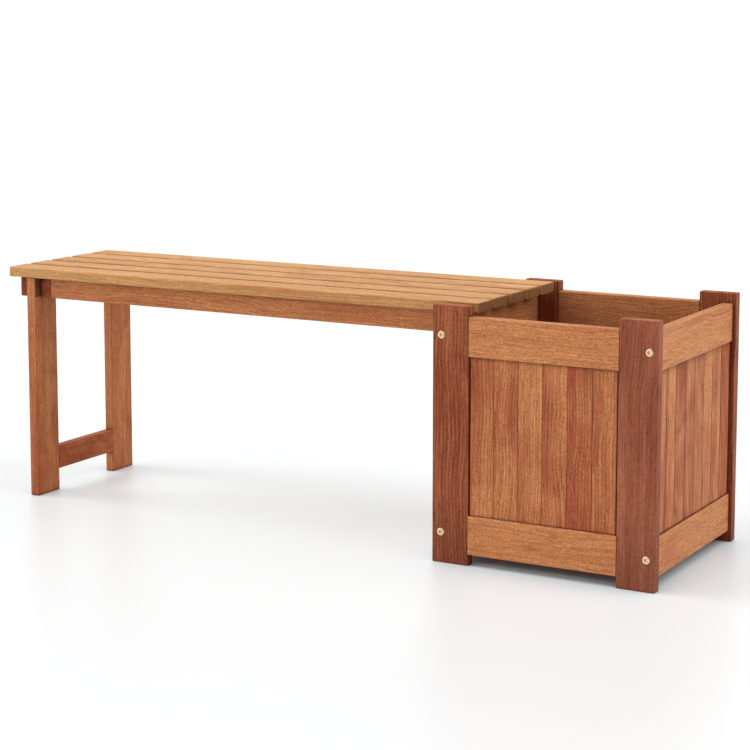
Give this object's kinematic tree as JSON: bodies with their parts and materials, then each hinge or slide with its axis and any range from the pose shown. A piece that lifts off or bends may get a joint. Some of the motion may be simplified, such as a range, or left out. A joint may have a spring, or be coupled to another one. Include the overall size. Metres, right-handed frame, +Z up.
{
  "type": "bench with planter",
  "caption": "Slatted hardwood garden bench carried by a leg frame at one end and by a square framed planter box at the other.",
  "frame": {"origin": "on the floor, under the middle of the bounding box", "axes": "+X along the bench from the leg frame to the planter, +Y from the front to the back, +Z up"},
  "size_m": [1.2404, 0.3574, 0.411],
  "materials": {
    "post_wood": "oiled red-brown hardwood",
    "rail_wood": "oiled tan hardwood",
    "board_wood": "oiled mid-brown hardwood",
    "seat_wood": "oiled light tan hardwood",
    "frame_wood": "oiled tan-brown hardwood",
    "floor_wood": "plain sawn hardwood"
  },
  "bodies": {
    "root": {"leg_back": "frame_wood", "leg_front": "frame_wood", "leg_stretcher": "frame_wood", "panel_board_back_1": "board_wood", "panel_board_back_2": "board_wood", "panel_board_back_3": "board_wood", "panel_board_back_4": "board_wood", "panel_board_back_5": "board_wood", "panel_board_back_6": "board_wood", "panel_board_front_1": "board_wood", "panel_board_front_2": "board_wood", "panel_board_front_3": "board_wood", "panel_board_front_4": "board_wood", "panel_board_front_5": "board_wood", "panel_board_front_6": "board_wood", "panel_board_left_1": "board_wood", "panel_board_left_2": "board_wood", "panel_board_left_3": "board_wood", "panel_board_left_4": "board_wood", "panel_board_left_5": "board_wood", "panel_board_left_6": "board_wood", "panel_board_left_7": "board_wood", "panel_board_left_8": "board_wood", "panel_board_right_1": "board_wood", "panel_board_right_2": "board_wood", "panel_board_right_3": "board_wood", "panel_board_right_4": "board_wood", "panel_board_right_5": "board_wood", "panel_board_right_6": "board_wood", "panel_board_right_7": "board_wood", "panel_board_right_8": "board_wood", "planter_floor_cleat_left": "floor_wood", "planter_floor_cleat_right": "floor_wood", "planter_floor_slat_1": "floor_wood", "planter_floor_slat_2": "floor_wood", "planter_floor_slat_3": "floor_wood", "planter_floor_slat_4": "floor_wood", "planter_post_back_left": "post_wood", "planter_post_back_right": "post_wood", "planter_post_front_left": "post_wood", "planter_post_front_right": "post_wood", "planter_rail_back_bottom": "rail_wood", "planter_rail_back_top": "rail_wood", "planter_rail_front_bottom": "rail_wood", "planter_rail_front_top": "rail_wood", "planter_rail_left_bottom": "rail_wood", "planter_rail_left_top": "rail_wood", "planter_rail_right_bottom": "rail_wood", "planter_rail_right_top": "rail_wood", "seat_apron_back": "frame_wood", "seat_apron_front": "frame_wood", "seat_bearer_inner": "frame_wood", "seat_bearer_middle": "frame_wood", "seat_bearer_outer": "frame_wood", "seat_bearer_planter": "frame_wood", "seat_slat_1": "seat_wood", "seat_slat_2": "seat_wood", "seat_slat_3": "seat_wood", "seat_slat_4": "seat_wood", "seat_slat_5": "seat_wood"}
  },
  "joints": []
}
